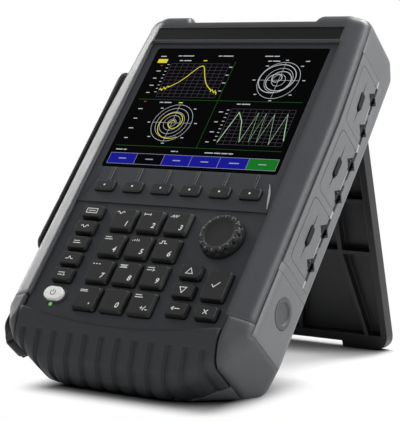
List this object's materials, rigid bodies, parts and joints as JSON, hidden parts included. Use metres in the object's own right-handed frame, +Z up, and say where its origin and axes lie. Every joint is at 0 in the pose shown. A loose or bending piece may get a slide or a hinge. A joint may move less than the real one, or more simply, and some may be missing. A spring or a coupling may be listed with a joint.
{
  "type": "handheld microwave analyzer",
  "caption": "Handheld radio test instrument with a screen, keypad and tuning knob, leaning on a fold-out stand, with hinged port doors, a sliding battery door and a padded hand strap.",
  "frame": {"origin": "centre of the bounding box at floor level, with the instrument leaning back on its open stand", "axes": "+X to the right of a person facing the screen, +Y away from that person, +Z up"},
  "size_m": [0.2032, 0.2462, 0.2357],
  "materials": {
    "front_frame": "satin moulded",
    "name_strip": "satin moulded",
    "rear_shell": "satin moulded",
    "lower_bumpers": "soft-touch moulded",
    "bottom_grip": "matt moulded",
    "side_panel": "satin moulded",
    "port_doors": "satin moulded",
    "door_hinge_pins": "drawn",
    "port_sockets": "moulded",
    "battery_door": "satin moulded",
    "battery_release_button": "satin moulded",
    "battery_pack": "moulded",
    "face_panel": "fine matt texture",
    "display_window": "polished",
    "display_module": "polished",
    "number_keys": "soft-touch moulded",
    "function_keys": "soft-touch moulded",
    "softkeys": "soft-touch moulded",
    "power_button": "polished",
    "power_lamp_lens": "clear moulded",
    "keypad_mat": "moulded",
    "keypad_board": "solder mask",
    "knob_encoder": "plated",
    "tuning_knob": "fine matt texture",
    "main_board": "solder mask",
    "rf_shield_can": "tinned",
    "tilt_stand": "satin moulded",
    "stand_hinge_pins": "drawn",
    "coaxial_jacks": "passivated",
    "case_screws": "zinc plated",
    "strap_anchors": "moulded",
    "strap_webbing": "woven",
    "strap_pad": "padded knit"
  },
  "bodies": {
    "case": {"front_frame": "front_frame", "name_strip": "name_strip", "rear_shell": "rear_shell", "lower_bumpers": "lower_bumpers", "bottom_grip": "bottom_grip", "side_panel": "side_panel", "door_hinge_pins": "door_hinge_pins", "port_sockets": "port_sockets", "battery_pack": "battery_pack", "face_panel": "face_panel", "display_window": "display_window", "display_module": "display_module", "power_lamp_lens": "power_lamp_lens", "keypad_mat": "keypad_mat", "keypad_board": "keypad_board", "knob_encoder": "knob_encoder", "main_board": "main_board", "rf_shield_can": "rf_shield_can", "stand_hinge_pins": "stand_hinge_pins", "coaxial_jacks": "coaxial_jacks", "case_screws": "case_screws", "strap_anchors": "strap_anchors", "strap_webbing": "strap_webbing", "strap_pad": "strap_pad"},
    "stand": {"tilt_stand": "tilt_stand"},
    "port_door_1": {"port_door_1": "port_doors"},
    "port_door_2": {"port_door_2": "port_doors"},
    "port_door_3": {"port_door_3": "port_doors"},
    "battery_door": {"battery_door": "battery_door"},
    "battery_release_button": {"battery_release_button": "battery_release_button"},
    "tuning_knob": {"tuning_knob": "tuning_knob"},
    "power_button": {"power_button": "power_button"},
    "key_1": {"key_1": "number_keys"},
    "key_2": {"key_2": "number_keys"},
    "key_3": {"key_3": "number_keys"},
    "key_4": {"key_4": "number_keys"},
    "key_5": {"key_5": "number_keys"},
    "key_6": {"key_6": "number_keys"},
    "key_7": {"key_7": "number_keys"},
    "key_8": {"key_8": "number_keys"},
    "key_9": {"key_9": "number_keys"},
    "key_point": {"key_point": "number_keys"},
    "key_0": {"key_0": "number_keys"},
    "key_sign": {"key_sign": "number_keys"},
    "function_key_1": {"function_key_1": "function_keys"},
    "function_key_2": {"function_key_2": "function_keys"},
    "function_key_3": {"function_key_3": "function_keys"},
    "function_key_4": {"function_key_4": "function_keys"},
    "function_key_5": {"function_key_5": "function_keys"},
    "up_key": {"up_key": "function_keys"},
    "down_key": {"down_key": "function_keys"},
    "back_key": {"back_key": "function_keys"},
    "escape_key": {"escape_key": "function_keys"},
    "enter_key": {"enter_key": "function_keys"},
    "softkey_1": {"softkey_1": "softkeys"},
    "softkey_2": {"softkey_2": "softkeys"},
    "softkey_3": {"softkey_3": "softkeys"},
    "softkey_4": {"softkey_4": "softkeys"},
    "softkey_5": {"softkey_5": "softkeys"},
    "softkey_6": {"softkey_6": "softkeys"}
  },
  "joints": [
    {"name": "stand_fold", "type": "hinge", "parent": "case", "child": "stand", "pos_m": [0.0074, 0.06377, 0.16019], "axis": [-1, 0, 0], "range_deg": [0, 57.84]},
    {"name": "port_door_1_swing", "type": "hinge", "parent": "case", "child": "port_door_1", "pos_m": [0.0998, -0.02922, 0.08887], "axis": [0, 0.6455, 0.7638], "range_deg": [0, 110]},
    {"name": "port_door_2_swing", "type": "hinge", "parent": "case", "child": "port_door_2", "pos_m": [0.0998, 0.00511, 0.12951], "axis": [0, 0.6455, 0.7638], "range_deg": [0, 110]},
    {"name": "port_door_3_swing", "type": "hinge", "parent": "case", "child": "port_door_3", "pos_m": [0.09783, 0.03977, 0.17052], "axis": [-0.069, 0.6439, 0.762], "range_deg": [0, 110]},
    {"name": "battery_door_slide", "type": "slide", "parent": "case", "child": "battery_door", "axis": [0, 0.7638, -0.6455], "range_m": [0, 0.012]},
    {"name": "battery_release_press", "type": "slide", "parent": "battery_door", "child": "battery_release_button", "axis": [-1, 0, 0], "range_m": [0, 0.002], "stiffness_N_per_m": 600, "springref_m": -0.001},
    {"name": "knob_turn", "type": "hinge", "parent": "case", "child": "tuning_knob", "pos_m": [0.0574, -0.06925, 0.09481], "axis": [0, -0.7638, 0.6455], "continuous": true},
    {"name": "power_button_press", "type": "slide", "parent": "case", "child": "power_button", "axis": [0, 0.7638, -0.6455], "range_m": [0, 0.0012], "stiffness_N_per_m": 400, "springref_m": -0.001},
    {"name": "key_1_press", "type": "slide", "parent": "case", "child": "key_1", "axis": [0, 0.7638, -0.6455], "range_m": [0, 0.0012], "stiffness_N_per_m": 400, "springref_m": -0.001},
    {"name": "key_2_press", "type": "slide", "parent": "case", "child": "key_2", "axis": [0, 0.7638, -0.6455], "range_m": [0, 0.0012], "stiffness_N_per_m": 400, "springref_m": -0.001},
    {"name": "key_3_press", "type": "slide", "parent": "case", "child": "key_3", "axis": [0, 0.7638, -0.6455], "range_m": [0, 0.0012], "stiffness_N_per_m": 400, "springref_m": -0.001},
    {"name": "key_4_press", "type": "slide", "parent": "case", "child": "key_4", "axis": [0, 0.7638, -0.6455], "range_m": [0, 0.0012], "stiffness_N_per_m": 400, "springref_m": -0.001},
    {"name": "key_5_press", "type": "slide", "parent": "case", "child": "key_5", "axis": [0, 0.7638, -0.6455], "range_m": [0, 0.0012], "stiffness_N_per_m": 400, "springref_m": -0.001},
    {"name": "key_6_press", "type": "slide", "parent": "case", "child": "key_6", "axis": [0, 0.7638, -0.6455], "range_m": [0, 0.0012], "stiffness_N_per_m": 400, "springref_m": -0.001},
    {"name": "key_7_press", "type": "slide", "parent": "case", "child": "key_7", "axis": [0, 0.7638, -0.6455], "range_m": [0, 0.0012], "stiffness_N_per_m": 400, "springref_m": -0.001},
    {"name": "key_8_press", "type": "slide", "parent": "case", "child": "key_8", "axis": [0, 0.7638, -0.6455], "range_m": [0, 0.0012], "stiffness_N_per_m": 400, "springref_m": -0.001},
    {"name": "key_9_press", "type": "slide", "parent": "case", "child": "key_9", "axis": [0, 0.7638, -0.6455], "range_m": [0, 0.0012], "stiffness_N_per_m": 400, "springref_m": -0.001},
    {"name": "key_point_press", "type": "slide", "parent": "case", "child": "key_point", "axis": [0, 0.7638, -0.6455], "range_m": [0, 0.0012], "stiffness_N_per_m": 400, "springref_m": -0.001},
    {"name": "key_0_press", "type": "slide", "parent": "case", "child": "key_0", "axis": [0, 0.7638, -0.6455], "range_m": [0, 0.0012], "stiffness_N_per_m": 400, "springref_m": -0.001},
    {"name": "key_sign_press", "type": "slide", "parent": "case", "child": "key_sign", "axis": [0, 0.7638, -0.6455], "range_m": [0, 0.0012], "stiffness_N_per_m": 400, "springref_m": -0.001},
    {"name": "function_key_1_press", "type": "slide", "parent": "case", "child": "function_key_1", "axis": [0, 0.7638, -0.6455], "range_m": [0, 0.0012], "stiffness_N_per_m": 400, "springref_m": -0.001},
    {"name": "function_key_2_press", "type": "slide", "parent": "case", "child": "function_key_2", "axis": [0, 0.7638, -0.6455], "range_m": [0, 0.0012], "stiffness_N_per_m": 400, "springref_m": -0.001},
    {"name": "function_key_3_press", "type": "slide", "parent": "case", "child": "function_key_3", "axis": [0, 0.7638, -0.6455], "range_m": [0, 0.0012], "stiffness_N_per_m": 400, "springref_m": -0.001},
    {"name": "function_key_4_press", "type": "slide", "parent": "case", "child": "function_key_4", "axis": [0, 0.7638, -0.6455], "range_m": [0, 0.0012], "stiffness_N_per_m": 400, "springref_m": -0.001},
    {"name": "function_key_5_press", "type": "slide", "parent": "case", "child": "function_key_5", "axis": [0, 0.7638, -0.6455], "range_m": [0, 0.0012], "stiffness_N_per_m": 400, "springref_m": -0.001},
    {"name": "up_key_press", "type": "slide", "parent": "case", "child": "up_key", "axis": [0, 0.7638, -0.6455], "range_m": [0, 0.0012], "stiffness_N_per_m": 400, "springref_m": -0.001},
    {"name": "down_key_press", "type": "slide", "parent": "case", "child": "down_key", "axis": [0, 0.7638, -0.6455], "range_m": [0, 0.0012], "stiffness_N_per_m": 400, "springref_m": -0.001},
    {"name": "back_key_press", "type": "slide", "parent": "case", "child": "back_key", "axis": [0, 0.7638, -0.6455], "range_m": [0, 0.0012], "stiffness_N_per_m": 400, "springref_m": -0.001},
    {"name": "escape_key_press", "type": "slide", "parent": "case", "child": "escape_key", "axis": [0, 0.7638, -0.6455], "range_m": [0, 0.0012], "stiffness_N_per_m": 400, "springref_m": -0.001},
    {"name": "enter_key_press", "type": "slide", "parent": "case", "child": "enter_key", "axis": [0, 0.7638, -0.6455], "range_m": [0, 0.0012], "stiffness_N_per_m": 400, "springref_m": -0.001},
    {"name": "softkey_1_press", "type": "slide", "parent": "case", "child": "softkey_1", "axis": [0, 0.7638, -0.6455], "range_m": [0, 0.0012], "stiffness_N_per_m": 400, "springref_m": -0.001},
    {"name": "softkey_2_press", "type": "slide", "parent": "case", "child": "softkey_2", "axis": [0, 0.7638, -0.6455], "range_m": [0, 0.0012], "stiffness_N_per_m": 400, "springref_m": -0.001},
    {"name": "softkey_3_press", "type": "slide", "parent": "case", "child": "softkey_3", "axis": [0, 0.7638, -0.6455], "range_m": [0, 0.0012], "stiffness_N_per_m": 400, "springref_m": -0.001},
    {"name": "softkey_4_press", "type": "slide", "parent": "case", "child": "softkey_4", "axis": [0, 0.7638, -0.6455], "range_m": [0, 0.0012], "stiffness_N_per_m": 400, "springref_m": -0.001},
    {"name": "softkey_5_press", "type": "slide", "parent": "case", "child": "softkey_5", "axis": [0, 0.7638, -0.6455], "range_m": [0, 0.0012], "stiffness_N_per_m": 400, "springref_m": -0.001},
    {"name": "softkey_6_press", "type": "slide", "parent": "case", "child": "softkey_6", "axis": [0, 0.7638, -0.6455], "range_m": [0, 0.0012], "stiffness_N_per_m": 400, "springref_m": -0.001}
  ]
}
